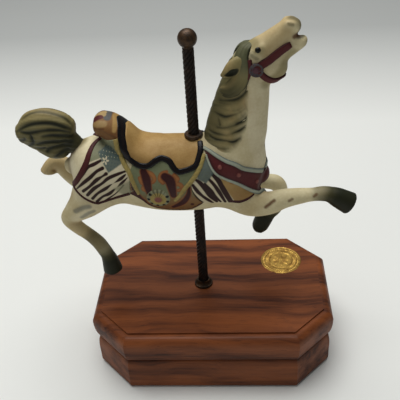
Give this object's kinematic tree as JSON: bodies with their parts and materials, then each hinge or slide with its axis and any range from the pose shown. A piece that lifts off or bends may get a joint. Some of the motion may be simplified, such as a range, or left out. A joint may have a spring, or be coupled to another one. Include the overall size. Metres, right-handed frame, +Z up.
{
  "type": "carousel music box",
  "caption": "Porcelain carousel horse on a rope-twist pole that turns above a moulded octagonal wooden base with a wind-up comb music movement inside.",
  "frame": {"origin": "centre of the base's underside, on the surface that the box stands on", "axes": "+X the way the horse faces, along the base's length; +Y to the back of the base; +Z up"},
  "size_m": [0.2165, 0.1138, 0.2513],
  "materials": {
    "oak": "satin varnish over a reddish-brown stain",
    "hardboard": "matt",
    "gold_foil": "satin foil",
    "antique_bronze": "dark patina, satin",
    "brass": "bright",
    "screw_steel": "zinc plated",
    "spring_steel": "ground",
    "cast_zinc": "as cast, plated",
    "bisque": "matt hand-painted bisque"
  },
  "bodies": {
    "base": {"base_top_board": "oak", "base_plinth": "oak", "bottom_board": "hardboard", "board_screws": "screw_steel", "seal_disc": "gold_foil", "pole_ferrule": "antique_bronze", "pole_bush": "brass", "bedplate": "cast_zinc", "bedplate_screws": "screw_steel", "cylinder_posts": "cast_zinc", "post_screws": "screw_steel", "comb": "spring_steel", "comb_screws": "screw_steel", "governor_frame": "cast_zinc", "governor_screws": "screw_steel"},
    "carousel": {"pole_rod": "screw_steel", "lower_sleeve": "antique_bronze", "upper_sleeve": "antique_bronze", "ball_finial": "antique_bronze", "saddle_collar": "antique_bronze", "horse": "bisque", "shaft_coupling": "screw_steel", "coupling_screws": "screw_steel", "output_shaft": "brass", "spring_barrel": "brass", "mainspring": "spring_steel", "crown_wheel": "brass"},
    "winder": {"spring_arbor": "screw_steel", "winding_key": "brass"},
    "cylinder": {"music_cylinder": "brass", "cylinder_arbor": "screw_steel", "cylinder_pinion": "brass", "cylinder_wheel": "brass"},
    "governor": {"governor_wheel": "brass", "governor_pinion": "brass", "governor_arbor": "screw_steel"},
    "fan": {"governor_worm": "screw_steel", "air_brake": "brass"}
  },
  "joints": [
    {"name": "carousel_turn", "type": "hinge", "parent": "base", "child": "carousel", "pos_m": [-0.0064, 0, 0.05], "axis": [0, 0, 1], "continuous": true},
    {"name": "key_turn", "type": "hinge", "parent": "base", "child": "winder", "pos_m": [-0.0064, 0, 0.01], "axis": [0, 0, 1], "range_deg": [0, 1530]},
    {"name": "cylinder_turn", "type": "hinge", "parent": "base", "child": "cylinder", "pos_m": [0.02, 0, 0.02508], "axis": [1, 0, 0], "continuous": true},
    {"name": "governor_turn", "type": "hinge", "parent": "base", "child": "governor", "pos_m": [0.045, 0.00788, 0.02508], "axis": [1, 0, 0], "continuous": true},
    {"name": "fan_turn", "type": "hinge", "parent": "base", "child": "fan", "pos_m": [0.0473, 0.01413, 0.025], "axis": [0, 0, 1], "continuous": true}
  ],
  "couplings": [
    {"joint": "cylinder_turn", "follows": "carousel_turn", "ratio": 5},
    {"joint": "governor_turn", "follows": "carousel_turn", "ratio": -20},
    {"joint": "fan_turn", "follows": "carousel_turn", "ratio": 400}
  ]
}
